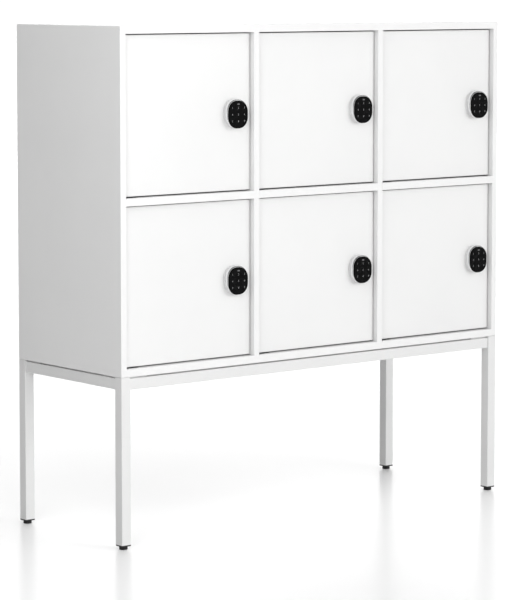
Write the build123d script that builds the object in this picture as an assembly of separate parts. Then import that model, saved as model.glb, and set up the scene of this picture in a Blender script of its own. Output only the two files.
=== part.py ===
from build123d import *
from math import sqrt
import os

os.makedirs("parts", exist_ok=True)

# ---------------------------------------------------------------------------
# Office locker cabinet: two rows of three inset doors in a board carcass that
# stands on a square-tube base with levelling feet.
# Millimetres.  +Z up, the doors face -Y, +X to the viewer's right.
# Origin on the floor, under the middle of the whole cabinet's bounding box.
# ---------------------------------------------------------------------------

# --- overall ---
WIDTH = 1200.0            # outside width of the carcass
DEPTH = 420.0             # outside depth of the carcass, front edge to back
BASE_H = 404.0            # floor to the underside of the carcass
OPEN_H = 378.0            # clear height of one compartment
N_COLS = 3
COLS = ["left", "centre", "right"]
ROWS = ["lower", "upper"]

# --- boards ---
T_UP = 16.0               # uprights: sides and dividers
T_FLAT = 18.0             # top, bottom and the shelves that carry the load
T_BACK = 8.0              # back panel
ARRIS = 1.0               # outer arris of the boards
ARRIS_IN = 0.5            # arris of the inner front edges

# --- doors ---
T_DOOR = 16.0
RECESS = 14.0             # door face behind the front edges of the carcass
GAP_LOCK = 2.0            # door to upright on the lock side
GAP_HINGE = 4.0           # door to upright on the hinge side
GAP_TOP = 2.8
GAP_BOTTOM = 3.3
DOOR_ARRIS = 0.8

# --- pivot hinges ---
PIV_IN = 8.0              # pin centre from the door's hinge-side edge
PIV_BACK = 8.0            # pin centre behind the door's face
PIN_R = 3.0
PIN_CLEAR = 0.06          # radial running clearance of the pin in the door
PIN_LEN = 10.0            # length of pin inside the door
PIV_T = 1.5               # pivot plate thickness, let into the board
PIV_L = 44.0
PIV_W = 14.0
PIV_SCREWS = (22.0, 35.0) # screw places along the plate, from its hinge end
WASHER_R = 5.0            # washer on the lower pin, under the door
WASHER_CLEAR = 0.05       # radial clearance of the washer on its pin
DOOR_LIFT = 0.3           # running clearance between washer and door

# --- lock ---
LOCK_FROM_EDGE = 48.3     # lock centre from the door's free edge
LOCK_DROP = 5.3           # keypad centre below the door's mid height
RING_UP = 3.0             # base ring's centre above the keypad's
RING_W, RING_H, RING_R, RING_T = 62.2, 68.0, 28.0, 4.4
NECK_W, NECK_H, NECK_R, NECK_T = 58.8, 64.6, 26.4, 0.8
BODY_W, BODY_H, BODY_R = 61.6, 67.4, 27.6
NOSE_W, NOSE_H, NOSE_R = 61.0, 67.0, 27.4
NOSE_UP = 2.9             # front of the housing above the keypad's centre
HOLLOW_W, HOLLOW_H, HOLLOW_R = 52.6, 57.6, 23.0
HOLLOW_UP = 2.0
BODY_FRONT = 12.0         # front rim of the housing, off the door face
SEAL_W, SEAL_H, SEAL_R, SEAL_T = 59.2, 66.4, 26.7, 1.0
SEAL_UP = 1.9             # black seal between housing and bezel
BEZEL_W, BEZEL_H, BEZEL_R, BEZEL_T = 59.3, 67.0, 26.8, 1.2
BEZEL_UP = 0.5
PAD_W, PAD_H, PAD_R = 58.4, 66.0, 26.3
PLUG_W, PLUG_H, PLUG_R = 50.0, 57.6, 22.0
PLUG_CLEAR = 0.1
PAD_BACK = 11.0           # back of the plug that locates the keypad
PAD_FRONT = 17.5          # front of the keypad, off the door face
TOUCH_IN = 3.6            # touch area inside the keypad's outline
TOUCH_DEPTH = 0.1         # touch area below the keypad's rim
POST_R = 3.5
POST_Z = 22.0             # screw posts above and below the lock centre
CABLE_R = 9.0             # cable hole through the door

CASE_W, CASE_H, CASE_D, CASE_R = 78.0, 92.0, 25.0, 6.0
CASE_WALL = 2.2
CASE_INSET = 4.0          # case end back from the door's free edge
BOLT_T, BOLT_H, BOLT_L = 8.0, 14.0, 34.0
BOLT_BACK = 12.0          # bolt centre behind the door's inner face
BOLT_THROW = 14.0
BOLT_CLEAR = 0.3

STRIKE_W, STRIKE_H, STRIKE_T = 20.0, 56.0, 1.5
STRIKE_HOLE_W, STRIKE_HOLE_H = 10.6, 16.6
POCKET_DEPTH = 11.0       # bolt pocket in the upright, from its face
STRIKE_SCREW_Z = 20.0

# --- small screws for hinge and strike plates ---
SCR_HEAD_R, SCR_R, SCR_LEN = 2.9, 1.5, 6.5

# --- screws that hold the back panel to the dividers and shelves ---
BSCR_HEAD_R, BSCR_R, BSCR_LEN = 4.0, 1.75, 30.0
BSCR_Z = 60.0             # from the ends of a compartment's height
BSCR_X = 110.0            # to either side of a compartment's middle

# --- rubber buffers behind the doors ---
BUF_X, BUF_Y, BUF_Z = 7.0, 9.0, 14.0
BUF_GAP = 0.5
BUF_FROM_END = 14.0

# --- base frame ---
TUBE = 26.0               # leg tube, square
TUBE_WALL = 1.5
TUBE_R = 1.6              # outer corner radius
RAIL_W, RAIL_H = 20.0, 26.0
RAIL_SET = 3.0            # rails lie this far inside the legs' outer faces
RAIL_TOP_GAP = 4.0        # rails to the underside of the carcass
LEG_TOP_GAP = 0.4         # joint between leg and carcass
FOOT_H = 8.0              # round pad of the levelling foot
CAP_T = 3.0               # flange of the end cap
CAP_PLUG = 18.0
FOOT_R = 10.0
STUD_R = 4.0
STUD_CLEAR = 0.06
STUD_UP = 30.0            # stud length above the pad

PLATE_SIZE = 70.0         # corner plate between rails and carcass
PLATE_SET = 9.0           # plate edge inside the legs' outer faces
MSCR_R, MSCR_HEAD_R, MSCR_HEAD_T, MSCR_IN = 2.25, 4.4, 2.6, 12.0
MSCR_CLEAR = 0.25

# ---------------------------------------------------------------------------
# derived positions
# ---------------------------------------------------------------------------
PROUD = PAD_FRONT - RECESS                 # keypads stand this far in front
YF = -(DEPTH + PROUD) / 2 + PROUD          # front plane of the carcass
YB = YF + DEPTH
X0, X1 = -WIDTH / 2, WIDTH / 2
Z_BOT = BASE_H
Z_LOW0 = Z_BOT + T_FLAT                    # lower compartment floor
Z_LOW1 = Z_LOW0 + OPEN_H
Z_UP0 = Z_LOW1 + T_FLAT
Z_UP1 = Z_UP0 + OPEN_H
Z_TOP = Z_UP1 + T_FLAT
OPEN_W = (WIDTH - (N_COLS + 1) * T_UP) / N_COLS
Y_BACK = YB - T_BACK                       # front face of the back panel

col_x = [(X0 + T_UP + i * (OPEN_W + T_UP), X0 + T_UP + i * (OPEN_W + T_UP) + OPEN_W)
         for i in range(N_COLS)]
row_z = [(Z_LOW0, Z_LOW1), (Z_UP0, Z_UP1)]

DOOR_Y0 = YF + RECESS
DOOR_Y1 = DOOR_Y0 + T_DOOR
DOOR_W = OPEN_W - GAP_LOCK - GAP_HINGE
DOOR_H = OPEN_H - GAP_TOP - GAP_BOTTOM
PIV_Y = DOOR_Y0 + PIV_BACK


def block(x0, x1, y0, y1, z0, z1):
    return Pos((x0 + x1) / 2, (y0 + y1) / 2, (z0 + z1) / 2) * Box(x1 - x0, y1 - y0, z1 - z0)


def rod(x, y, z0, z1, r):
    return Pos(x, y, (z0 + z1) / 2) * Cylinder(r, z1 - z0)


def edges_at(shape, axis, tol=1e-4, **at):
    """Edges parallel to axis whose centres have the given coordinates."""
    out = []
    for e in shape.edges().filter_by(axis):
        c = e.center()
        if all(abs(getattr(c, k.upper()) - v) < tol for k, v in at.items()):
            out.append(e)
    return out


def save(shapes, name):
    if not isinstance(shapes, (list, tuple)):
        shapes = [shapes]
    solids = []
    for s in shapes:
        solids += list(s.solids())
    if len(solids) == 1:
        export_step(solids[0], f"parts/{name}.step")
    else:
        export_step(Compound(children=solids), f"parts/{name}.step")


def front_sketch(xc, zc, y, w, h, r):
    """Rounded rectangle standing in a plane that faces the front."""
    pl = Plane(origin=(xc, y, zc), x_dir=(1, 0, 0), z_dir=(0, -1, 0))
    return pl * RectangleRounded(w, h, r)


def slab(xc, zc, off0, off1, w, h, r, y_ref=DOOR_Y0):
    """Rounded slab from off0 to off1 in front of y_ref (negative is behind)."""
    return extrude(front_sketch(xc, zc, y_ref - off0, w, h, r), off1 - off0, dir=(0, -1, 0))


# ---------------------------------------------------------------------------
# carcass
# ---------------------------------------------------------------------------
def cover_board(z0, z1, outer_z):
    b = block(X0, X1, YF, YB, z0, z1)
    e = []
    for x in (X0, X1):
        for y in (YF, YB):
            e += edges_at(b, Axis.Z, x=x, y=y)
    e += edges_at(b, Axis.X, y=YF, z=outer_z) + edges_at(b, Axis.X, y=YB, z=outer_z)
    e += edges_at(b, Axis.Y, x=X0, z=outer_z) + edges_at(b, Axis.Y, x=X1, z=outer_z)
    return fillet(e, ARRIS)


def plate_blank(i, z_face, into):
    """Pivot plate of column i let into the board beyond z_face (+1 upwards, -1 downwards)."""
    xs = col_x[i][0] + 2.0
    za, zb = sorted((z_face, z_face + into * PIV_T))
    b = block(xs, xs + PIV_L, PIV_Y - PIV_W / 2, PIV_Y + PIV_W / 2, za, zb)
    return fillet(b.edges().filter_by(Axis.Z), 2.0)


top_panel = cover_board(Z_UP1, Z_TOP, Z_TOP)
bottom_panel = cover_board(Z_BOT, Z_LOW0, Z_BOT)
for i in range(N_COLS):
    top_panel -= plate_blank(i, Z_UP1, +1)
    bottom_panel -= plate_blank(i, Z_LOW0, -1)


def upright(x0, x1, y1, front_out=None):
    b = block(x0, x1, YF, y1, Z_LOW0, Z_UP1)
    for x in (x0, x1):
        outer = front_out is not None and abs(x - front_out) < 1e-6
        b = fillet(edges_at(b, Axis.Z, x=x, y=YF), ARRIS if outer else ARRIS_IN)
    if front_out is not None:
        b = fillet(edges_at(b, Axis.Z, x=front_out, y=y1), ARRIS)
    return b


lock_z = [(z0 + GAP_BOTTOM + z1 - GAP_TOP) / 2 - LOCK_DROP for z0, z1 in row_z]
BOLT_Y = DOOR_Y1 + BOLT_BACK


def with_strikes(b, face_x):
    """Shallow seat and bolt pocket for each strike plate, in a face that looks to -X."""
    for zl in lock_z:
        b -= block(face_x, face_x + STRIKE_T, BOLT_Y - STRIKE_W / 2, BOLT_Y + STRIKE_W / 2,
                   zl - STRIKE_H / 2, zl + STRIKE_H / 2)
        b -= block(face_x, face_x + POCKET_DEPTH, BOLT_Y - STRIKE_HOLE_W / 2, BOLT_Y + STRIKE_HOLE_W / 2,
                   zl - STRIKE_HOLE_H / 2, zl + STRIKE_HOLE_H / 2)
    return b


side_panel_left = upright(X0, X0 + T_UP, YB, X0)
side_panel_right = with_strikes(upright(X1 - T_UP, X1, YB, X1), col_x[2][1])
divider_left = with_strikes(upright(col_x[0][1], col_x[1][0], Y_BACK), col_x[0][1])
divider_right = with_strikes(upright(col_x[1][1], col_x[2][0], Y_BACK), col_x[1][1])
back_panel = block(X0 + T_UP, X1 - T_UP, Y_BACK, YB, Z_LOW0, Z_UP1)


def back_screw(x, z):
    """Countersunk screw from the back: cutter for its hole in the panel, then the screw."""
    turn = Pos(x, YB, z) * Rot(90, 0, 0)
    head_t = BSCR_HEAD_R - BSCR_R
    cone = Pos(0, 0, head_t / 2) * Cone(BSCR_HEAD_R, BSCR_R, head_t)
    cutter = cone + rod(0, 0, head_t, T_BACK, BSCR_R)
    screw = cone + rod(0, 0, head_t, BSCR_LEN, BSCR_R)
    screw -= block(-2.4, 2.4, -0.45, 0.45, -0.5, 1.2)
    screw -= block(-0.45, 0.45, -2.4, 2.4, -0.5, 1.2)
    return turn * cutter, turn * screw


back_screws = []
places = [((col_x[k][1] + col_x[k + 1][0]) / 2, z) for k in range(N_COLS - 1)
          for z in (Z_LOW0 + BSCR_Z, Z_LOW1 - BSCR_Z, Z_UP0 + BSCR_Z, Z_UP1 - BSCR_Z)]
places += [((a + b) / 2 + s * BSCR_X, (Z_LOW1 + Z_UP0) / 2) for a, b in col_x for s in (-1, 1)]
for x, z in places:
    cutter, screw = back_screw(x, z)
    back_panel -= cutter
    back_screws.append(screw)
save(back_screws, "back_screws")

save(top_panel, "top_panel")
save(bottom_panel, "bottom_panel")
save(side_panel_left, "side_panel_left")
save(side_panel_right, "side_panel_right")
save(divider_left, "divider_left")
save(divider_right, "divider_right")
save(back_panel, "back_panel")

for i, col in enumerate(COLS):
    xa, xb = col_x[i]
    s = block(xa, xb, YF, Y_BACK, Z_LOW1, Z_UP0)
    s = fillet(edges_at(s, Axis.X, y=YF, z=Z_LOW1) + edges_at(s, Axis.X, y=YF, z=Z_UP0), ARRIS_IN)
    s -= plate_blank(i, Z_LOW1, +1)
    s -= plate_blank(i, Z_UP0, -1)
    save(s, f"shelf_{col}")

# ---------------------------------------------------------------------------
# hinge hardware on the carcass: a plate with its pin above and below each door
# ---------------------------------------------------------------------------
def countersunk(x, y, z_face, into):
    """Countersunk screw lying along Z; its head is flush with z_face and it runs towards into (+1 up, -1 down)."""
    head_t = SCR_HEAD_R - SCR_R
    za, zb = z_face, z_face + into * head_t
    zc = z_face + into * (PIV_T + SCR_LEN)
    cone = Pos(x, y, (za + zb) / 2) * Cone(SCR_HEAD_R, SCR_R, head_t)
    if into < 0:
        cone = Pos(x, y, (za + zb) / 2) * Rot(180, 0, 0) * Cone(SCR_HEAD_R, SCR_R, head_t)
    shank = rod(x, y, min(zb, zc), max(zb, zc), SCR_R)
    cross = block(x - 1.9, x + 1.9, y - 0.35, y + 0.35, min(za, za + into * 0.8), max(za, za + into * 0.8)) + \
        block(x - 0.35, x + 0.35, y - 1.9, y + 1.9, min(za, za + into * 0.8), max(za, za + into * 0.8))
    return cone + shank - cross


def csk_hole(x, y, z_face, into):
    head_t = SCR_HEAD_R - SCR_R
    za, zb = z_face, z_face + into * head_t
    cone = Pos(x, y, (za + zb) / 2) * (Cone(SCR_HEAD_R, SCR_R, head_t) if into > 0
                                       else Rot(180, 0, 0) * Cone(SCR_HEAD_R, SCR_R, head_t))
    zc = z_face + into * PIV_T
    return cone + rod(x, y, min(zb, zc), max(zb, zc), SCR_R)


pivot_plates = []
hinge_washers = []
hardware_screws = []
for i in range(N_COLS):
    xa, xb = col_x[i]
    px = xa + GAP_HINGE + PIV_IN
    x_start = xa + 2.0
    for z0, z1 in row_z:
        # above the door: plate let into the board, pin downwards
        top = plate_blank(i, z1, +1) + rod(px, PIV_Y, z1 - GAP_TOP - PIN_LEN, z1 + 0.5, PIN_R)
        # below the door: plate let into the board, pin upwards, washer round the pin
        low = plate_blank(i, z0, -1) + rod(px, PIV_Y, z0 - 0.5, z0 + GAP_BOTTOM + PIN_LEN, PIN_R)
        hinge_washers.append(rod(px, PIV_Y, z0, z0 + GAP_BOTTOM - DOOR_LIFT, WASHER_R)
                             - rod(px, PIV_Y, z0 - 1, z0 + GAP_BOTTOM, PIN_R + WASHER_CLEAR))
        for sx in PIV_SCREWS:
            top -= csk_hole(x_start + sx, PIV_Y, z1, +1)
            low -= csk_hole(x_start + sx, PIV_Y, z0, -1)
            hardware_screws.append(countersunk(x_start + sx, PIV_Y, z1, +1))
            hardware_screws.append(countersunk(x_start + sx, PIV_Y, z0, -1))
        pivot_plates += [top, low]
save(pivot_plates + hinge_washers, "pivot_plates")

# strike plates let into the uprights, with their screws along X
strike_plates = []
for i in range(N_COLS):
    fx = col_x[i][1]
    for zl in lock_z:
        p = block(fx, fx + STRIKE_T, BOLT_Y - STRIKE_W / 2, BOLT_Y + STRIKE_W / 2,
                  zl - STRIKE_H / 2, zl + STRIKE_H / 2)
        p -= block(fx - 1, fx + STRIKE_T + 1, BOLT_Y - STRIKE_HOLE_W / 2, BOLT_Y + STRIKE_HOLE_W / 2,
                   zl - STRIKE_HOLE_H / 2, zl + STRIKE_HOLE_H / 2)
        for s in (-1, 1):
            turn = Pos(fx, BOLT_Y, zl + s * STRIKE_SCREW_Z) * Rot(0, 90, 0)
            p -= turn * csk_hole(0, 0, 0, +1)
            hardware_screws.append(turn * countersunk(0, 0, 0, +1))
        strike_plates.append(p)
save(strike_plates, "strike_plates")
save(hardware_screws, "hardware_screws")

# rubber buffers that stop each door flush inside its opening
buffers = []
for i in range(N_COLS):
    fx = col_x[i][1]
    for z0, z1 in row_z:
        for zc in (z0 + BUF_FROM_END, z1 - BUF_FROM_END):
            b = block(fx - BUF_X, fx, DOOR_Y1 + BUF_GAP, DOOR_Y1 + BUF_GAP + BUF_Y, zc - BUF_Z / 2, zc + BUF_Z / 2)
            b = fillet(edges_at(b, Axis.Z, x=fx - BUF_X, y=DOOR_Y1 + BUF_GAP)
                       + edges_at(b, Axis.Z, x=fx - BUF_X, y=DOOR_Y1 + BUF_GAP + BUF_Y), 2.0)
            buffers.append(b)
save(buffers, "door_buffers")

# ---------------------------------------------------------------------------
# doors with their locks
# ---------------------------------------------------------------------------
for i, col in enumerate(COLS):
    xa, xb = col_x[i]
    dx0, dx1 = xa + GAP_HINGE, xb - GAP_LOCK
    px = dx0 + PIV_IN
    xl = dx1 - LOCK_FROM_EDGE
    for r, row in enumerate(ROWS):
        z0, z1 = row_z[r]
        dz0, dz1 = z0 + GAP_BOTTOM, z1 - GAP_TOP
        zl = lock_z[r]
        tag = f"{row}_{col}"

        door = block(dx0, dx1, DOOR_Y0, DOOR_Y1, dz0, dz1)
        door = fillet([e for e in door.edges() if abs(e.center().Y - DOOR_Y0) < 1e-4], DOOR_ARRIS)
        # blind bores for the pivot pins
        door -= rod(px, PIV_Y, dz1 - PIN_LEN - 1.0, dz1 + 1.0, PIN_R + PIN_CLEAR)
        door -= rod(px, PIV_Y, dz0 - 1.0, dz0 + PIN_LEN + 1.0, PIN_R + PIN_CLEAR)
        # cable hole and the two post holes of the lock
        for dz, rr in ((0.0, CABLE_R), (POST_Z, POST_R + 0.2), (-POST_Z, POST_R + 0.2)):
            door -= Pos(xl, (DOOR_Y0 + DOOR_Y1) / 2, zl + dz) * Rot(90, 0, 0) * Cylinder(rr, T_DOOR + 2)
        save(door, f"door_{tag}")

        # outer housing: base ring, shallow groove, main body set higher than the keypad, open back
        zr = zl + RING_UP
        house = slab(xl, zr, 0.0, RING_T, RING_W, RING_H, RING_R)
        house = fillet([e for e in house.edges() if abs(e.center().Y - (DOOR_Y0 - RING_T)) < 1e-4], 0.6)
        house += slab(xl, zr, RING_T - 1.0, RING_T + NECK_T, NECK_W, NECK_H, NECK_R)
        y_a = DOOR_Y0 - RING_T - NECK_T
        body = loft([front_sketch(xl, zr, y_a, BODY_W, BODY_H, BODY_R),
                     front_sketch(xl, zl + NOSE_UP, DOOR_Y0 - BODY_FRONT, NOSE_W, NOSE_H, NOSE_R)])
        body = fillet([e for e in body.edges() if abs(e.center().Y - y_a) < 1e-4], 0.4)
        body = fillet([e for e in body.edges() if abs(e.center().Y - (DOOR_Y0 - BODY_FRONT)) < 1e-4], 1.0)
        house += body
        plug_hole = slab(xl, zl, PAD_BACK, PAD_FRONT, PLUG_W + 2 * PLUG_CLEAR, PLUG_H + 2 * PLUG_CLEAR,
                         PLUG_R + PLUG_CLEAR)
        house -= plug_hole
        house -= slab(xl, zl + HOLLOW_UP, -1.0, PAD_BACK - 2.5, HOLLOW_W, HOLLOW_H, HOLLOW_R)
        for s in (-1, 1):
            house += Pos(xl, (DOOR_Y1 + CASE_WALL + DOOR_Y0 - PAD_BACK + 1.0) / 2, zl + s * POST_Z) * \
                Rot(90, 0, 0) * Cylinder(POST_R, (DOOR_Y1 + CASE_WALL) - (DOOR_Y0 - PAD_BACK + 1.0))
        # wire hole from the keypad into the case
        house -= Pos(xl, DOOR_Y0 - PAD_BACK + 1.5, zl) * Rot(90, 0, 0) * Cylinder(5.0, 6.0)
        # thin bezel in front of the housing, round the keypad's plug
        seal_front = BODY_FRONT + SEAL_T
        pad_rear = seal_front + BEZEL_T
        bezel = slab(xl, zl + BEZEL_UP, seal_front, pad_rear, BEZEL_W, BEZEL_H, BEZEL_R)
        bezel = fillet([e for e in bezel.edges() if abs(e.center().Y - (DOOR_Y0 - pad_rear)) < 1e-4], 0.4)
        bezel -= plug_hole
        save([house, bezel], f"lock_housing_{tag}")

        # black seal, then the keypad: cap with a softly rounded rim, a shallow touch area and a plug behind
        seal = slab(xl, zl + SEAL_UP, BODY_FRONT, seal_front, SEAL_W, SEAL_H, SEAL_R) - plug_hole
        pad = slab(xl, zl, pad_rear, PAD_FRONT, PAD_W, PAD_H, PAD_R)
        pad = fillet([e for e in pad.edges() if abs(e.center().Y - (DOOR_Y0 - PAD_FRONT)) < 1e-4], 2.0)
        pad += slab(xl, zl, PAD_BACK, pad_rear + 0.5, PLUG_W, PLUG_H, PLUG_R)
        pad -= slab(xl, zl, PAD_FRONT - TOUCH_DEPTH, PAD_FRONT + 1.0, PAD_W - 2 * TOUCH_IN,
                    PAD_H - 2 * TOUCH_IN, PAD_R - TOUCH_IN)
        save([pad, seal], f"lock_keypad_{tag}")

        # inner case behind the door: tray that opens to the door's back
        cx1 = dx1 - CASE_INSET
        cx0 = cx1 - CASE_W
        cxc = (cx0 + cx1) / 2
        case = slab(cxc, zl, -CASE_D, 0.0, CASE_W, CASE_H, CASE_R, DOOR_Y1)
        case = fillet([e for e in case.edges() if abs(e.center().Y - (DOOR_Y1 + CASE_D)) < 1e-4], 2.0)
        case -= slab(cxc, zl, -CASE_D + CASE_WALL, -CASE_WALL, CASE_W - 2 * CASE_WALL,
                     CASE_H - 2 * CASE_WALL, CASE_R - CASE_WALL, DOOR_Y1)
        # seat of the two posts and the wire passage in the front wall of the case
        for dz, rr in ((0.0, CABLE_R), (POST_Z, POST_R + 0.05), (-POST_Z, POST_R + 0.05)):
            case -= Pos(xl, DOOR_Y1 + CASE_WALL / 2, zl + dz) * Rot(90, 0, 0) * Cylinder(rr, CASE_WALL + 0.4)
        # bolt guide block inside, then the bolt's channel through guide and end wall
        g_w = 24.0
        case += block(cx1 - CASE_WALL - g_w, cx1 - CASE_WALL + 0.5, DOOR_Y1 + CASE_WALL - 0.2,
                      DOOR_Y1 + CASE_D - CASE_WALL + 0.2, zl - 12.0, zl + 12.0)
        ch_t, ch_h = BOLT_T / 2 + BOLT_CLEAR, BOLT_H / 2 + BOLT_CLEAR
        case -= block(cx1 - BOLT_L - 6.0, cx1 + 1.0, BOLT_Y - ch_t, BOLT_Y + ch_t, zl - ch_h, zl + ch_h)
        # outline of the battery lid and its thumb notch on the back of the case
        lid_o = slab(cxc - 4.0, zl, -CASE_D - 1.0, -CASE_D + 0.6, 50.0, 70.0, 5.0, DOOR_Y1)
        lid_i = slab(cxc - 4.0, zl, -CASE_D - 1.0, -CASE_D + 0.6, 48.4, 68.4, 4.2, DOOR_Y1)
        case -= (lid_o - lid_i)
        case -= Pos(cxc - 4.0, DOOR_Y1 + CASE_D + 3.6, zl + 24.0) * Sphere(5.0)
        save(case, f"lock_case_{tag}")

        # sliding bolt, drawn in at rest
        bx1 = cx1 - 0.4
        bolt = block(bx1 - BOLT_L, bx1, BOLT_Y - BOLT_T / 2, BOLT_Y + BOLT_T / 2,
                     zl - BOLT_H / 2, zl + BOLT_H / 2)
        bolt = chamfer([e for e in bolt.edges() if abs(e.center().X - bx1) < 1e-4], 0.8)
        save(bolt, f"lock_bolt_{tag}")

# ---------------------------------------------------------------------------
# base frame of square tube
# ---------------------------------------------------------------------------
LEG_Z0 = FOOT_H + CAP_T
LEG_Z1 = BASE_H - LEG_TOP_GAP
RAIL_Z1 = BASE_H - RAIL_TOP_GAP
RAIL_Z0 = RAIL_Z1 - RAIL_H
corner = {"front_left": (X0 + TUBE / 2, YF + TUBE / 2), "front_right": (X1 - TUBE / 2, YF + TUBE / 2),
          "rear_left": (X0 + TUBE / 2, YB - TUBE / 2), "rear_right": (X1 - TUBE / 2, YB - TUBE / 2)}

caps = []
for name, (cx, cy) in corner.items():
    outer = Pos(cx, cy, LEG_Z0) * extrude(RectangleRounded(TUBE, TUBE, TUBE_R), LEG_Z1 - LEG_Z0)
    inner = Pos(cx, cy, LEG_Z0 - 1) * extrude(
        RectangleRounded(TUBE - 2 * TUBE_WALL, TUBE - 2 * TUBE_WALL, TUBE_R / 2), LEG_Z1 - LEG_Z0 + 2)
    save(outer - inner, f"leg_{name}")

    # end cap: thin square flange under the tube, plug inside it, threaded hole for the foot
    flange = Pos(cx, cy, FOOT_H) * extrude(RectangleRounded(TUBE, TUBE, TUBE_R), CAP_T)
    in_w = TUBE - 2 * TUBE_WALL - 0.1
    plug = Pos(cx, cy, LEG_Z0) * extrude(RectangleRounded(in_w, in_w, TUBE_R / 2), CAP_PLUG)
    cap = flange + plug - rod(cx, cy, FOOT_H - 1, LEG_Z0 + CAP_PLUG + 1, STUD_R + STUD_CLEAR)
    caps.append(cap)

    # levelling foot: round pad with a stud that screws into the cap
    pad = rod(cx, cy, 0.0, FOOT_H - 0.3, FOOT_R)
    pad = fillet(pad.edges().filter_by(GeomType.CIRCLE).sort_by(Axis.Z)[-1], 1.2)
    pad = chamfer(pad.edges().filter_by(GeomType.CIRCLE).sort_by(Axis.Z)[0], 0.6)
    stud = rod(cx, cy, FOOT_H - 1.5, FOOT_H + STUD_UP, STUD_R)
    stud = chamfer(stud.edges().filter_by(GeomType.CIRCLE).sort_by(Axis.Z)[-1], 0.8)
    save(pad + stud, f"foot_{name}")
save(caps, "leg_end_caps")


def rail_x(y0):
    a = Plane.YZ * Pos(y0 + RAIL_W / 2, (RAIL_Z0 + RAIL_Z1) / 2) * RectangleRounded(RAIL_W, RAIL_H, TUBE_R)
    b = Plane.YZ * Pos(y0 + RAIL_W / 2, (RAIL_Z0 + RAIL_Z1) / 2) * RectangleRounded(
        RAIL_W - 2 * TUBE_WALL, RAIL_H - 2 * TUBE_WALL, TUBE_R / 2)
    length = WIDTH - 2 * TUBE
    return Pos(-length / 2, 0, 0) * extrude(a - b, length, dir=(1, 0, 0))


def rail_y(x0):
    ya, yb = YF + TUBE, YB - TUBE
    pl = Plane(origin=(x0 + RAIL_W / 2, ya, (RAIL_Z0 + RAIL_Z1) / 2), x_dir=(1, 0, 0), z_dir=(0, 1, 0))
    sk = pl * (RectangleRounded(RAIL_W, RAIL_H, TUBE_R) -
               RectangleRounded(RAIL_W - 2 * TUBE_WALL, RAIL_H - 2 * TUBE_WALL, TUBE_R / 2))
    return extrude(sk, yb - ya, dir=(0, 1, 0))


save(rail_x(YF + RAIL_SET), "rail_front")
save(rail_x(YB - RAIL_SET - RAIL_W), "rail_rear")
save(rail_y(X0 + RAIL_SET), "rail_left")
save(rail_y(X1 - RAIL_SET - RAIL_W), "rail_right")

# corner plates on the rails: they carry the carcass and take its screws
plates, mscrews = [], []
for name, (cx, cy) in corner.items():
    sx = 1 if cx < 0 else -1
    sy = 1 if cy < 0 else -1
    ox = X0 if sx > 0 else X1
    oy = YF if sy > 0 else YB
    a, b, c = PLATE_SET, PLATE_SET + PLATE_SIZE, PLATE_SET + 18.0
    pts = [(a, a), (b, a), (b, c), (c, b), (a, b)]
    face = make_face(Polyline(*[(ox + sx * u, oy + sy * v) for u, v in pts], close=True))
    pl = Pos(0, 0, RAIL_Z1) * extrude(face, RAIL_TOP_GAP, dir=(0, 0, 1))
    lx0, lx1 = sorted((ox, ox + sx * (TUBE + 0.2)))
    ly0, ly1 = sorted((oy, oy + sy * (TUBE + 0.2)))
    pl -= block(lx0, lx1, ly0, ly1, RAIL_Z1 - 1, BASE_H + 1)
    for u, v in ((36.0, 36.0), (58.0, 31.0), (31.0, 58.0)):
        hx, hy = ox + sx * u, oy + sy * v
        pl -= rod(hx, hy, RAIL_Z1 - 1, BASE_H + 1, MSCR_R + MSCR_CLEAR)
        head = rod(hx, hy, RAIL_Z1 - MSCR_HEAD_T, RAIL_Z1, MSCR_HEAD_R)
        head = fillet(head.edges().filter_by(GeomType.CIRCLE).sort_by(Axis.Z)[0], 1.0)
        s = head + rod(hx, hy, RAIL_Z1 - 0.5, BASE_H + MSCR_IN, MSCR_R)
        s -= block(hx - 2.3, hx + 2.3, hy - 0.45, hy + 0.45, RAIL_Z1 - MSCR_HEAD_T - 1, RAIL_Z1 - MSCR_HEAD_T + 1.3)
        s -= block(hx - 0.45, hx + 0.45, hy - 2.3, hy + 2.3, RAIL_Z1 - MSCR_HEAD_T - 1, RAIL_Z1 - MSCR_HEAD_T + 1.3)
        mscrews.append(s)
    plates.append(pl)
save(plates, "mounting_plates")
save(mscrews, "mounting_screws")

# ---------------------------------------------------------------------------
# sizes worth reading back
# ---------------------------------------------------------------------------
print("front plane y", YF, "back y", YB, "top z", Z_TOP)
print("opening", round(OPEN_W, 3), "x", OPEN_H, " door", round(DOOR_W, 3), "x", DOOR_H)
print("lock z", lock_z, "pivot y", PIV_Y, "bolt y", BOLT_Y)
print("hinge corner sweep", round(sqrt(PIV_IN ** 2 + PIV_BACK ** 2), 3), "of", GAP_HINGE + PIV_IN)
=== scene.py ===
import math

import bmesh
import bpy
from mathutils import Euler, Matrix, Vector


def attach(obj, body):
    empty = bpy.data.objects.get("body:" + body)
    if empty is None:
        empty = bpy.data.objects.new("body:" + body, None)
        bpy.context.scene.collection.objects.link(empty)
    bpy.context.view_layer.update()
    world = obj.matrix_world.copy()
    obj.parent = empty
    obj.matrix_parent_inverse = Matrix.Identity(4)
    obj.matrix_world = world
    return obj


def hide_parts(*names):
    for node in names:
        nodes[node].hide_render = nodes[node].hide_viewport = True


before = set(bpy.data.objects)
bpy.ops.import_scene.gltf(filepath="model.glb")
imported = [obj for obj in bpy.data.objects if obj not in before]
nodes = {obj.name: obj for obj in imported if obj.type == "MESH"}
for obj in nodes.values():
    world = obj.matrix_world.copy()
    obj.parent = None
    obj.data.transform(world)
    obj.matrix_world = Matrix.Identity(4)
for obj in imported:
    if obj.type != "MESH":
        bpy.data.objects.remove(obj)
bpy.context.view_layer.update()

scene = bpy.context.scene

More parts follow.
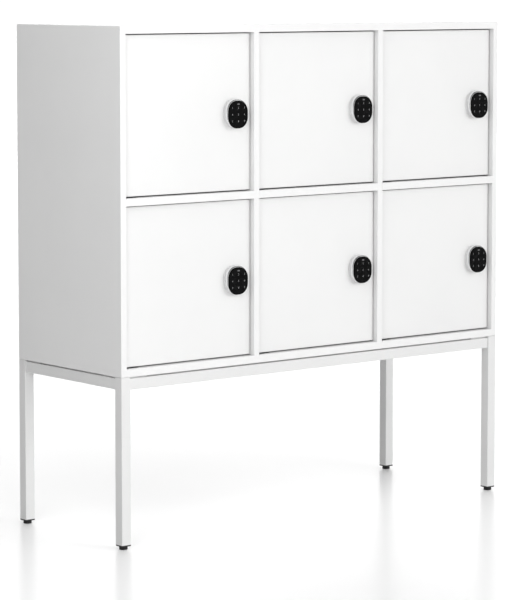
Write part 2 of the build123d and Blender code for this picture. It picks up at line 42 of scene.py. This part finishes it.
# ---------------------------------------------------------------------------
# sizes shared with the CAD model, in metres
# ---------------------------------------------------------------------------
COLS = ("left", "centre", "right")
ROWS = ("lower", "upper")
FRONT_Y = -0.20825            # front edges of the carcass
BACK_Y = 0.21175
DOOR_FRONT_Y = -0.19425
DOOR_BACK_Y = -0.17825
TOUCH_Y = -0.21165            # touch area of the keypads, just below their rims
LOCK_X = {"left": -0.255633, "centre": 0.139033, "right": 0.5337}
LOCK_Z = {"lower": 0.60595, "upper": 1.00195}
FEET = {"front_left": (-0.587, -0.19525), "front_right": (0.587, -0.19525),
        "rear_left": (-0.587, 0.19875), "rear_right": (0.587, 0.19875)}


# ---------------------------------------------------------------------------
# small node-tree helpers
# ---------------------------------------------------------------------------
class Tree:
    """A material's node tree with short calls for the nodes used here."""

    def __init__(self, name):
        self.mat = bpy.data.materials.new(name)
        self.mat.use_nodes = True
        self.t = self.mat.node_tree
        self.t.nodes.clear()
        self.out = self.t.nodes.new("ShaderNodeOutputMaterial")
        self.bsdf = self.t.nodes.new("ShaderNodeBsdfPrincipled")
        self.t.links.new(self.bsdf.outputs["BSDF"], self.out.inputs["Surface"])
        self.coord = self.t.nodes.new("ShaderNodeTexCoord")

    def link(self, a, b):
        self.t.links.new(a, b)

    def set(self, **values):
        for key, value in values.items():
            self.bsdf.inputs[key.replace("_", " ")].default_value = value

    def scaled(self, sx=1.0, sy=1.0, sz=1.0):
        m = self.t.nodes.new("ShaderNodeMapping")
        m.inputs["Scale"].default_value = (sx, sy, sz)
        self.link(self.coord.outputs["Object"], m.inputs["Vector"])
        return m.outputs["Vector"]

    def noise(self, scale, detail=2.0, rough=0.5, vector=None, distortion=0.0):
        n = self.t.nodes.new("ShaderNodeTexNoise")
        n.inputs["Scale"].default_value = scale
        n.inputs["Detail"].default_value = detail
        n.inputs["Roughness"].default_value = rough
        n.inputs["Distortion"].default_value = distortion
        self.link(vector or self.coord.outputs["Object"], n.inputs["Vector"])
        return n.outputs["Fac"]

    def cells(self, scale, vector=None, smooth=0.6):
        n = self.t.nodes.new("ShaderNodeTexVoronoi")
        n.feature = "SMOOTH_F1"
        n.inputs["Scale"].default_value = scale
        n.inputs["Smoothness"].default_value = smooth
        self.link(vector or self.coord.outputs["Object"], n.inputs["Vector"])
        return n.outputs["Distance"]

    def span(self, value, a0, a1, b0, b1, smooth=False):
        n = self.t.nodes.new("ShaderNodeMapRange")
        if smooth:
            n.interpolation_type = "SMOOTHSTEP"
        for key, v in (("From Min", a0), ("From Max", a1), ("To Min", b0), ("To Max", b1)):
            n.inputs[key].default_value = v
        self.link(value, n.inputs["Value"])
        return n.outputs["Result"]

    def math(self, op, a, b=None, c=None):
        n = self.t.nodes.new("ShaderNodeMath")
        n.operation = op
        for i, v in enumerate((a, b, c)):
            if v is None:
                continue
            if isinstance(v, (int, float)):
                n.inputs[i].default_value = v
            else:
                self.link(v, n.inputs[i])
        return n.outputs[0]

    def mix(self, fac, a, b):
        n = self.t.nodes.new("ShaderNodeMix")
        n.data_type = "RGBA"
        for key, v in ((0, fac), (6, a), (7, b)):
            if isinstance(v, (int, float)):
                n.inputs[key].default_value = v
            elif isinstance(v, tuple):
                n.inputs[key].default_value = (*v, 1.0)
            else:
                self.link(v, n.inputs[key])
        return n.outputs[2]

    def axis(self, output, which):
        n = self.t.nodes.new("ShaderNodeSeparateXYZ")
        self.link(self.coord.outputs[output], n.inputs[0])
        return n.outputs[which]

    def bump(self, height, distance, strength=1.0, below=None):
        n = self.t.nodes.new("ShaderNodeBump")
        n.inputs["Strength"].default_value = strength
        n.inputs["Distance"].default_value = distance
        self.link(height, n.inputs["Height"])
        if below is not None:
            self.link(below, n.inputs["Normal"])
        return n.outputs["Normal"]


# ---------------------------------------------------------------------------
# finishes
# ---------------------------------------------------------------------------
WHITE_A, WHITE_B = (0.800, 0.800, 0.797), (0.775, 0.776, 0.774)


def white_board(name, banding):
    """Melamine-faced board: fine pearl texture on the faces, smoother edge banding, a hairline where they meet."""
    m = Tree(name)
    cloud = m.noise(4.0, 3.0, 0.55)
    fine = m.noise(1100.0, 2.0, 0.6)
    face = m.mix(m.span(cloud, 0.3, 0.7, 0.0, 1.0), WHITE_A, WHITE_B)
    face = m.mix(m.span(fine, 0.35, 0.75, 0.0, 0.35), face, (0.755, 0.756, 0.754))
    rough = m.math("ADD", m.span(cloud, 0.3, 0.7, 0.40, 0.47), m.span(fine, 0.3, 0.7, -0.03, 0.03))
    pearl = m.bump(m.noise(650.0, 3.0, 0.55), 0.00006, 0.35)
    if banding == "none":
        colour, roughness = face, rough
    else:
        ny = m.math("ABSOLUTE", m.axis("Normal", 1))
        if banding == "front":
            # banded front edge: object normal looks to -Y
            band = m.span(m.axis("Normal", 1), -0.80, -0.86, 0.0, 1.0)
        else:
            # banded round all four sides: everything that doesn't look to the front or back
            band = m.span(ny, 0.62, 0.56, 0.0, 1.0)
        line_at = 0.83 if banding == "front" else 0.59
        near = m.math("ABSOLUTE", m.math("SUBTRACT", ny, line_at))
        line = m.span(near, 0.0, 0.05, 1.0, 0.0)
        along = m.noise(22.0, 2.0, 0.5)
        band_colour = m.mix(m.span(along, 0.3, 0.7, 0.0, 1.0), (0.805, 0.805, 0.803), (0.790, 0.790, 0.788))
        colour = m.mix(band, face, band_colour)
        colour = m.mix(m.math("MULTIPLY", line, m.span(along, 0.2, 0.8, 0.10, 0.35)), colour, (0.60, 0.60, 0.59))
        roughness = m.math("SUBTRACT", rough, m.math("MULTIPLY", band, 0.07))
    m.link(colour, m.bsdf.inputs["Base Color"])
    m.link(roughness, m.bsdf.inputs["Roughness"])
    m.link(pearl, m.bsdf.inputs["Normal"])
    m.set(IOR=1.46)
    return m.mat


def powder_coat(name, light, dark, spread=420.0):
    """Sprayed powder: rounded orange-peel bump with a satin sheen."""
    m = Tree(name)
    peel = m.cells(spread, smooth=0.9)
    slow = m.noise(9.0, 3.0, 0.55)
    grain = m.noise(1800.0, 1.0, 0.5)
    colour = m.mix(m.span(slow, 0.3, 0.7, 0.0, 1.0), light, dark)
    colour = m.mix(m.span(peel, 0.1, 0.6, 0.0, 0.18), colour, tuple(c * 0.93 for c in dark))
    m.link(colour, m.bsdf.inputs["Base Color"])
    m.link(m.math("ADD", m.span(slow, 0.3, 0.7, 0.40, 0.48), m.span(grain, 0.3, 0.7, -0.025, 0.025)),
           m.bsdf.inputs["Roughness"])
    m.link(m.bump(grain, 0.00001, 0.3, m.bump(peel, 0.00012, 0.35)), m.bsdf.inputs["Normal"])
    m.set(IOR=1.5)
    return m.mat


def moulded(name, tone, rough, tex=1500.0, depth=0.00005, ior_level=0.4):
    """Moulded plastic with a spark-eroded texture."""
    m = Tree(name)
    tex_a = m.noise(tex, 2.0, 0.6)
    slow = m.noise(35.0, 2.0, 0.5)
    lighter = tuple(c * 1.25 + 0.002 for c in tone)
    colour = m.mix(m.span(slow, 0.3, 0.7, 0.0, 1.0), tone, lighter)
    colour = m.mix(m.span(tex_a, 0.45, 0.75, 0.0, 0.5), colour, tuple(c * 1.6 + 0.004 for c in tone))
    m.link(colour, m.bsdf.inputs["Base Color"])
    m.link(m.span(tex_a, 0.3, 0.7, rough - 0.05, rough + 0.07), m.bsdf.inputs["Roughness"])
    m.link(m.bump(tex_a, depth, 0.5), m.bsdf.inputs["Normal"])
    m.set(Specular_IOR_Level=ior_level)
    return m.mat


def metal(name, light, dark, rough, grain_scale, stretch=(1.0, 1.0, 1.0), depth=0.00002, blotch=60.0):
    """Plated or ground metal: fine directional or blasted grain over slow patches."""
    m = Tree(name)
    grain = m.noise(grain_scale, 3.0, 0.6, m.scaled(*stretch))
    slow = m.noise(blotch, 3.0, 0.55)
    colour = m.mix(m.span(slow, 0.3, 0.7, 0.0, 1.0), light, dark)
    colour = m.mix(m.span(grain, 0.35, 0.7, 0.0, 0.4), colour, dark)
    m.link(colour, m.bsdf.inputs["Base Color"])
    m.link(m.math("ADD", m.span(slow, 0.3, 0.7, rough - 0.03, rough + 0.04), m.span(grain, 0.3, 0.7, -0.04, 0.04)),
           m.bsdf.inputs["Roughness"])
    m.link(m.bump(grain, depth, 0.4), m.bsdf.inputs["Normal"])
    m.set(Metallic=1.0)
    return m.mat


def keypad_black(name):
    """Deep black touch plate: smooth, with faint rubbed patches where fingers land."""
    m = Tree(name)
    rubbed = m.noise(85.0, 4.0, 0.6, distortion=0.4)
    dust = m.noise(2600.0, 1.0, 0.5)
    colour = m.mix(m.span(rubbed, 0.35, 0.7, 0.0, 1.0), (0.0022, 0.0023, 0.0024), (0.0042, 0.0043, 0.0045))
    colour = m.mix(m.span(dust, 0.74, 0.82, 0.0, 0.2), colour, (0.02, 0.02, 0.02))
    m.link(colour, m.bsdf.inputs["Base Color"])
    m.link(m.span(rubbed, 0.3, 0.75, 0.20, 0.34), m.bsdf.inputs["Roughness"])
    m.link(m.bump(dust, 0.000004, 0.3), m.bsdf.inputs["Normal"])
    m.set(Specular_IOR_Level=0.05)
    return m.mat


def printed(name, pale, worn):
    """Screen-printed ink, slightly uneven in cover."""
    m = Tree(name)
    cover = m.noise(1500.0, 3.0, 0.6)
    m.link(m.mix(m.span(cover, 0.3, 0.75, 0.0, 1.0), (pale, pale, pale * 1.02), (worn, worn, worn * 1.02)),
           m.bsdf.inputs["Base Color"])
    m.link(m.span(cover, 0.3, 0.7, 0.45, 0.6), m.bsdf.inputs["Roughness"])
    m.link(m.bump(cover, 0.000004, 0.4), m.bsdf.inputs["Normal"])
    return m.mat


BOARD_FRONT = white_board("white_board_front_band", "front")
BOARD_DOOR = white_board("white_board_door", "round")
BOARD_BACK = white_board("white_board_back", "none")
BASE = powder_coat("base_powder", (0.745, 0.745, 0.742), (0.725, 0.726, 0.724))
PLATE = powder_coat("base_plate_powder", (0.735, 0.735, 0.732), (0.715, 0.716, 0.714), 520.0)
CAP = moulded("cap_black", (0.012, 0.012, 0.0125), 0.5)
FOOT = moulded("foot_black", (0.010, 0.010, 0.0105), 0.46, 1100.0)
CASE = moulded("case_charcoal", (0.045, 0.046, 0.048), 0.5, 1300.0, 0.00006)
RUBBER = moulded("buffer_grey", (0.36, 0.36, 0.355), 0.68, 900.0, 0.00007, 0.3)
ZINC = metal("zinc_plate", (0.66, 0.67, 0.68), (0.56, 0.565, 0.57), 0.32, 1500.0)
HINGE = metal("hinge_black_zinc", (0.060, 0.060, 0.063), (0.040, 0.040, 0.042), 0.36, 900.0, (0.12, 1.0, 1.0))
STRIKE = metal("strike_bright_zinc", (0.68, 0.67, 0.65), (0.60, 0.59, 0.575), 0.27, 900.0, (1.0, 1.0, 0.12))
BOLT = metal("bolt_ground", (0.70, 0.70, 0.69), (0.60, 0.60, 0.59), 0.25, 1600.0, (0.06, 1.0, 1.0))
SILVER = metal("lock_satin_silver", (0.90, 0.902, 0.905), (0.85, 0.852, 0.855), 0.30, 2300.0, blotch=45.0)
SILVER.node_tree.nodes["Principled BSDF"].inputs["Metallic"].default_value = 0.75
KEYPAD = keypad_black("keypad_black_gloss")
INK = printed("keypad_ink", 0.36, 0.27)
MARK = printed("keypad_status_lens", 0.15, 0.11)


def dress(name, material):
    o = nodes[name]
    o.data.materials.clear()
    o.data.materials.append(material)
    for p in o.data.polygons:
        p.material_index = 0


for n in ("top_panel", "bottom_panel", "side_panel_left", "side_panel_right", "divider_left", "divider_right",
          "shelf_left", "shelf_centre", "shelf_right"):
    dress(n, BOARD_FRONT)
dress("back_panel", BOARD_BACK)
for n in ("leg_front_left", "leg_front_right", "leg_rear_left", "leg_rear_right",
          "rail_front", "rail_rear", "rail_left", "rail_right"):
    dress(n, BASE)
dress("mounting_plates", PLATE)
dress("leg_end_caps", CAP)
dress("mounting_screws", ZINC)
dress("hardware_screws", ZINC)
dress("back_screws", ZINC)
dress("pivot_plates", HINGE)
dress("strike_plates", STRIKE)
dress("door_buffers", RUBBER)
for row in ROWS:
    for col in COLS:
        tag = f"{row}_{col}"
        dress(f"door_{tag}", BOARD_DOOR)
        dress(f"lock_housing_{tag}", SILVER)
        dress(f"lock_keypad_{tag}", KEYPAD)
        dress(f"lock_case_{tag}", CASE)
        dress(f"lock_bolt_{tag}", BOLT)


# ---------------------------------------------------------------------------
# mesh helpers
# ---------------------------------------------------------------------------
def new_piece(name, bm, material, smooth_deg=None):
    me = bpy.data.meshes.new(name)
    bmesh.ops.recalc_face_normals(bm, faces=bm.faces)
    bm.to_mesh(me)
    bm.free()
    me.materials.append(material)
    o = bpy.data.objects.new(name, me)
    scene.collection.objects.link(o)
    if smooth_deg is not None:
        for p in me.polygons:
            p.use_smooth = True
        me.set_sharp_from_angle(angle=math.radians(smooth_deg))
    return o


def rings_to_mesh(bm, rings, close_start=True, close_end=True):
    """Closed surface through rings of equal point counts."""
    rows = [[bm.verts.new(p) for p in ring] for ring in rings]
    n = len(rows[0])
    for a, b in zip(rows, rows[1:]):
        for j in range(n):
            bm.faces.new((a[j], a[(j + 1) % n], b[(j + 1) % n], b[j]))
    if close_start:
        bm.faces.new(rows[0])
    if close_end:
        bm.faces.new(rows[-1])


def arc(cx, cz, r, a0, a1, steps):
    return [(cx + r * math.cos(math.radians(a0 + (a1 - a0) * i / steps)),
             cz + r * math.sin(math.radians(a0 + (a1 - a0) * i / steps))) for i in range(steps + 1)]


# ---------------------------------------------------------------------------
# levelling feet: turned pad with a grooved sole, and a threaded stud
# ---------------------------------------------------------------------------
def foot_pad(name, cx, cy):
    profile = [(0.0022, 0.0009), (0.0034, 0.0009), (0.0038, 0.0), (0.0054, 0.0), (0.0058, 0.0007), (0.0066, 0.0007),
               (0.0070, 0.0), (0.0092, 0.0)]
    profile += arc(0.0092, 0.0008, 0.0008, -90, 0, 4)[1:]
    profile += [(0.0100, 0.0030)]
    profile += arc(0.0097, 0.0034, 0.0003, -60, 60, 3)
    profile += [(0.0100, 0.0040), (0.0100, 0.0065)]
    profile += arc(0.0088, 0.0065, 0.0012, 0, 90, 6)[1:]
    profile += [(0.0060, 0.0077), (0.0042, 0.0077)]
    count = 56
    rings = [[(cx + r * math.cos(2 * math.pi * j / count), cy + r * math.sin(2 * math.pi * j / count), z)
              for j in range(count)] for r, z in profile]
    bm = bmesh.new()
    rings_to_mesh(bm, rings)
    return new_piece(name, bm, FOOT, 35)


def foot_stud(name, cx, cy):
    """M8 thread cut into the stud: crest at 4.0 mm, root at 3.4 mm, one turn every 1.25 mm."""
    pitch, crest, root = 0.00125, 0.0040, 0.0034
    z0, z1 = 0.0066, 0.0380
    count, per_turn = 28, 8
    steps = int((z1 - z0) / pitch * per_turn)
    rings = []
    for i in range(steps + 1):
        z = z0 + (z1 - z0) * i / steps
        fade = min(1.0, max(0.0, (z - 0.0085) / pitch)) * min(1.0, max(0.0, (z1 - 0.0006 - z) / pitch))
        top = min(1.0, (z1 - z) / 0.0008)
        ring = []
        for j in range(count):
            a = 2 * math.pi * j / count
            f = (z / pitch - a / (2 * math.pi)) % 1.0
            tooth = min(1.0, max(0.0, (abs(2 * f - 1) - 0.12) / 0.76))
            r = crest - (crest - root) * tooth * fade
            r = r - (1.0 - top) * 0.0008
            ring.append((cx + r * math.cos(a), cy + r * math.sin(a), z))
        rings.append(ring)
    bm = bmesh.new()
    rings_to_mesh(bm, rings)
    return new_piece(name, bm, ZINC, 50)


for where, (cx, cy) in FEET.items():
    pad = foot_pad(f"foot_pad_{where}", cx, cy)
    stud = foot_stud(f"foot_stud_{where}", cx, cy)
    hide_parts(f"foot_{where}")
    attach(pad, f"foot_{where}")
    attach(stud, f"foot_{where}")


# ---------------------------------------------------------------------------
# keypad print: figures 1 to 9 and a plain status bar
# ---------------------------------------------------------------------------
FIGURE_H = 0.0046
PITCH_X, PITCH_Z = 0.0182, 0.0160
INK_T = 0.00003


def figure_mesh(char):
    """One figure as a flat-cut solid, standing in the XZ plane with its front to -Y, centred on the origin."""
    cu = bpy.data.curves.new("figure", "FONT")
    cu.body = char
    cu.size = FIGURE_H / 0.73
    cu.offset = -0.00003
    cu.resolution_u = 4
    cu.extrude = INK_T / 2
    o = bpy.data.objects.new("figure", cu)
    scene.collection.objects.link(o)
    bpy.context.view_layer.update()
    me = bpy.data.meshes.new_from_object(o.evaluated_get(bpy.context.evaluated_depsgraph_get()))
    bpy.data.objects.remove(o)
    bpy.data.curves.remove(cu)
    xs = [v.co.x for v in me.vertices]
    ys = [v.co.y for v in me.vertices]
    me.transform(Matrix.Translation((-(min(xs) + max(xs)) / 2, -(min(ys) + max(ys)) / 2, 0.0)))
    me.transform(Euler((math.radians(90), 0, 0)).to_matrix().to_4x4())
    return me


def bar_into(bm, cx, cy, cz, w, h, t):
    """Plain bar with round ends, front at cy - t."""
    r = h / 2
    ring = []
    for side, a0 in ((1, -90), (-1, 90)):
        for k in range(9):
            a = math.radians(a0 + 180 * k / 8)
            ring.append((cx + side * (w / 2 - r) + r * math.cos(a), cz + r * math.sin(a)))
    front = [bm.verts.new((x, cy - t, z)) for x, z in ring]
    back = [bm.verts.new((x, cy, z)) for x, z in ring]
    bm.faces.new(front)
    bm.faces.new(list(reversed(back)))
    for i in range(len(ring)):
        j = (i + 1) % len(ring)
        bm.faces.new((front[i], back[i], back[j], front[j]))


FIGURES = [figure_mesh(c) for c in "123456789"]
for row in ROWS:
    for col in COLS:
        x0, z0 = LOCK_X[col], LOCK_Z[row]
        bm = bmesh.new()
        for k, me in enumerate(FIGURES):
            cx = x0 + (k % 3 - 1) * PITCH_X
            cz = z0 + (1 - k // 3) * PITCH_Z
            me2 = me.copy()
            me2.transform(Matrix.Translation((cx, TOUCH_Y - INK_T / 2, cz)))
            bm.from_mesh(me2)
            bpy.data.meshes.remove(me2)
        ink = new_piece(f"keypad_print_{row}_{col}", bm, INK)
        bm = bmesh.new()
        bar_into(bm, x0, TOUCH_Y, z0 + 0.0246, 0.0072, 0.0030, INK_T)
        lens = new_piece(f"keypad_lens_{row}_{col}", bm, MARK)
        for piece in (ink, lens):
            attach(piece, f"door_{row}_{col}")
for me in FIGURES:
    bpy.data.meshes.remove(me)

# ---------------------------------------------------------------------------
# floor
# ---------------------------------------------------------------------------
bm = bmesh.new()
bmesh.ops.create_grid(bm, x_segments=8, y_segments=8, size=70.0)
fl = Tree("studio_floor")
wave = fl.noise(0.6, 2.0, 0.5)
fl.link(fl.mix(wave, (0.970, 0.970, 0.970), (0.980, 0.980, 0.980)), fl.bsdf.inputs["Base Color"])
fl.set(Roughness=0.6, Specular_IOR_Level=0.0)
sheen = fl.t.nodes.new("ShaderNodeBsdfGlossy")
sheen.inputs["Color"].default_value = (0.96, 0.96, 0.96, 1.0)
sheen.inputs["Roughness"].default_value = 0.24
polish = fl.t.nodes.new("ShaderNodeMixShader")
facing = fl.t.nodes.new("ShaderNodeLayerWeight")
facing.inputs["Blend"].default_value = 0.5
fl.link(fl.span(facing.outputs["Facing"], 0.80, 1.0, 0.12, 0.80), polish.inputs[0])
fl.link(fl.bsdf.outputs["BSDF"], polish.inputs[1])
fl.link(sheen.outputs["BSDF"], polish.inputs[2])
fl.link(polish.outputs["Shader"], fl.out.inputs["Surface"])
floor = new_piece("studio_floor", bm, fl.mat)

# ---------------------------------------------------------------------------
# soft studio light: broad glows round the horizon, four softboxes, white behind
# ---------------------------------------------------------------------------
GLOW_HEIGHT, GLOW_POWER = 14.0, 6.0
GLOWS = {0: 0.58, 45: 1.30, 90: 0.42, 135: 2.65, 180: 0.70, 225: 0.10, 270: 0.24, 315: 0.50}

world = bpy.data.worlds.new("studio")
scene.world = world
world.use_nodes = True
wt = world.node_tree
wt.nodes.clear()
out = wt.nodes.new("ShaderNodeOutputWorld")
coord = wt.nodes.new("ShaderNodeTexCoord")


def world_math(op, a, b):
    n = wt.nodes.new("ShaderNodeMath")
    n.operation = op
    for i, v in enumerate((a, b)):
        if isinstance(v, (int, float)):
            n.inputs[i].default_value = v
        else:
            wt.links.new(v, n.inputs[i])
    return n.outputs[0]


total = None
for az, strength in GLOWS.items():
    a, e = math.radians(az), math.radians(GLOW_HEIGHT)
    dot = wt.nodes.new("ShaderNodeVectorMath")
    dot.operation = "DOT_PRODUCT"
    dot.inputs[1].default_value = (math.sin(a) * math.cos(e), -math.cos(a) * math.cos(e), math.sin(e))
    wt.links.new(coord.outputs["Generated"], dot.inputs[0])
    glow = world_math("MULTIPLY", world_math("POWER", world_math("MAXIMUM", dot.outputs["Value"], 0.0), GLOW_POWER),
                      strength)
    total = glow if total is None else world_math("ADD", total, glow)
dome = wt.nodes.new("ShaderNodeBackground")
dome.inputs["Color"].default_value = (1.0, 1.0, 1.0, 1.0)
wt.links.new(total, dome.inputs["Strength"])
plain = wt.nodes.new("ShaderNodeBackground")
plain.inputs["Color"].default_value = (1.0, 1.0, 1.0, 1.0)
plain.inputs["Strength"].default_value = 1.05
path = wt.nodes.new("ShaderNodeLightPath")
both = wt.nodes.new("ShaderNodeMixShader")
wt.links.new(path.outputs["Is Camera Ray"], both.inputs["Fac"])
wt.links.new(dome.outputs["Background"], both.inputs[1])
wt.links.new(plain.outputs["Background"], both.inputs[2])
wt.links.new(both.outputs["Shader"], out.inputs["Surface"])


def softbox(name, place, target, size, watts):
    data = bpy.data.lights.new(name, "AREA")
    data.shape = "SQUARE"
    data.size = size
    data.energy = watts
    o = bpy.data.objects.new(name, data)
    scene.collection.objects.link(o)
    o.location = place
    o.rotation_mode = "QUATERNION"
    o.rotation_quaternion = (Vector(target) - Vector(place)).to_track_quat("-Z", "Y")
    o.visible_camera = False
    o.visible_glossy = False


softbox("softbox_side", (-1.75, -1.4, 1.5), (-0.6, 0.0, 0.8), 0.9, 11.0)
softbox("softbox_high", (-2.0, -0.9, 2.2), (-0.6, 0.0, 0.9), 1.0, 7.0)
softbox("softbox_front", (2.2, -5.7, 2.0), (0.5, -0.2, 0.85), 3.2, 123.0)
softbox("softbox_top", (-0.6, -1.2, 4.5), (-0.3, -0.9, 0.0), 2.8, 29.0)

scene.view_settings.view_transform = "Standard"
scene.view_settings.look = "None"
scene.view_settings.exposure = 0.0
scene.view_settings.gamma = 1.0

# ---------------------------------------------------------------------------
# camera at the photograph's angle
# ---------------------------------------------------------------------------
cam_data = bpy.data.cameras.new("camera")
cam_data.sensor_width = 36.0
cam_data.sensor_fit = "AUTO"
cam_data.lens = 2682.84 / 600.0 * 36.0
cam_data.shift_x = 0.0
cam_data.shift_y = -0.12
cam_data.clip_start = 0.1
cam_data.clip_end = 300.0
cam = bpy.data.objects.new("camera", cam_data)
scene.collection.objects.link(cam)
cam.location = (-4.23018, -5.15798, 1.30779)
yaw, pitch = 0.68358, 0.09043
forward = Vector((math.sin(yaw) * math.cos(pitch), math.cos(yaw) * math.cos(pitch), -math.sin(pitch)))
cam.rotation_mode = "QUATERNION"
cam.rotation_quaternion = forward.to_track_quat("-Z", "Y")
scene.camera = cam
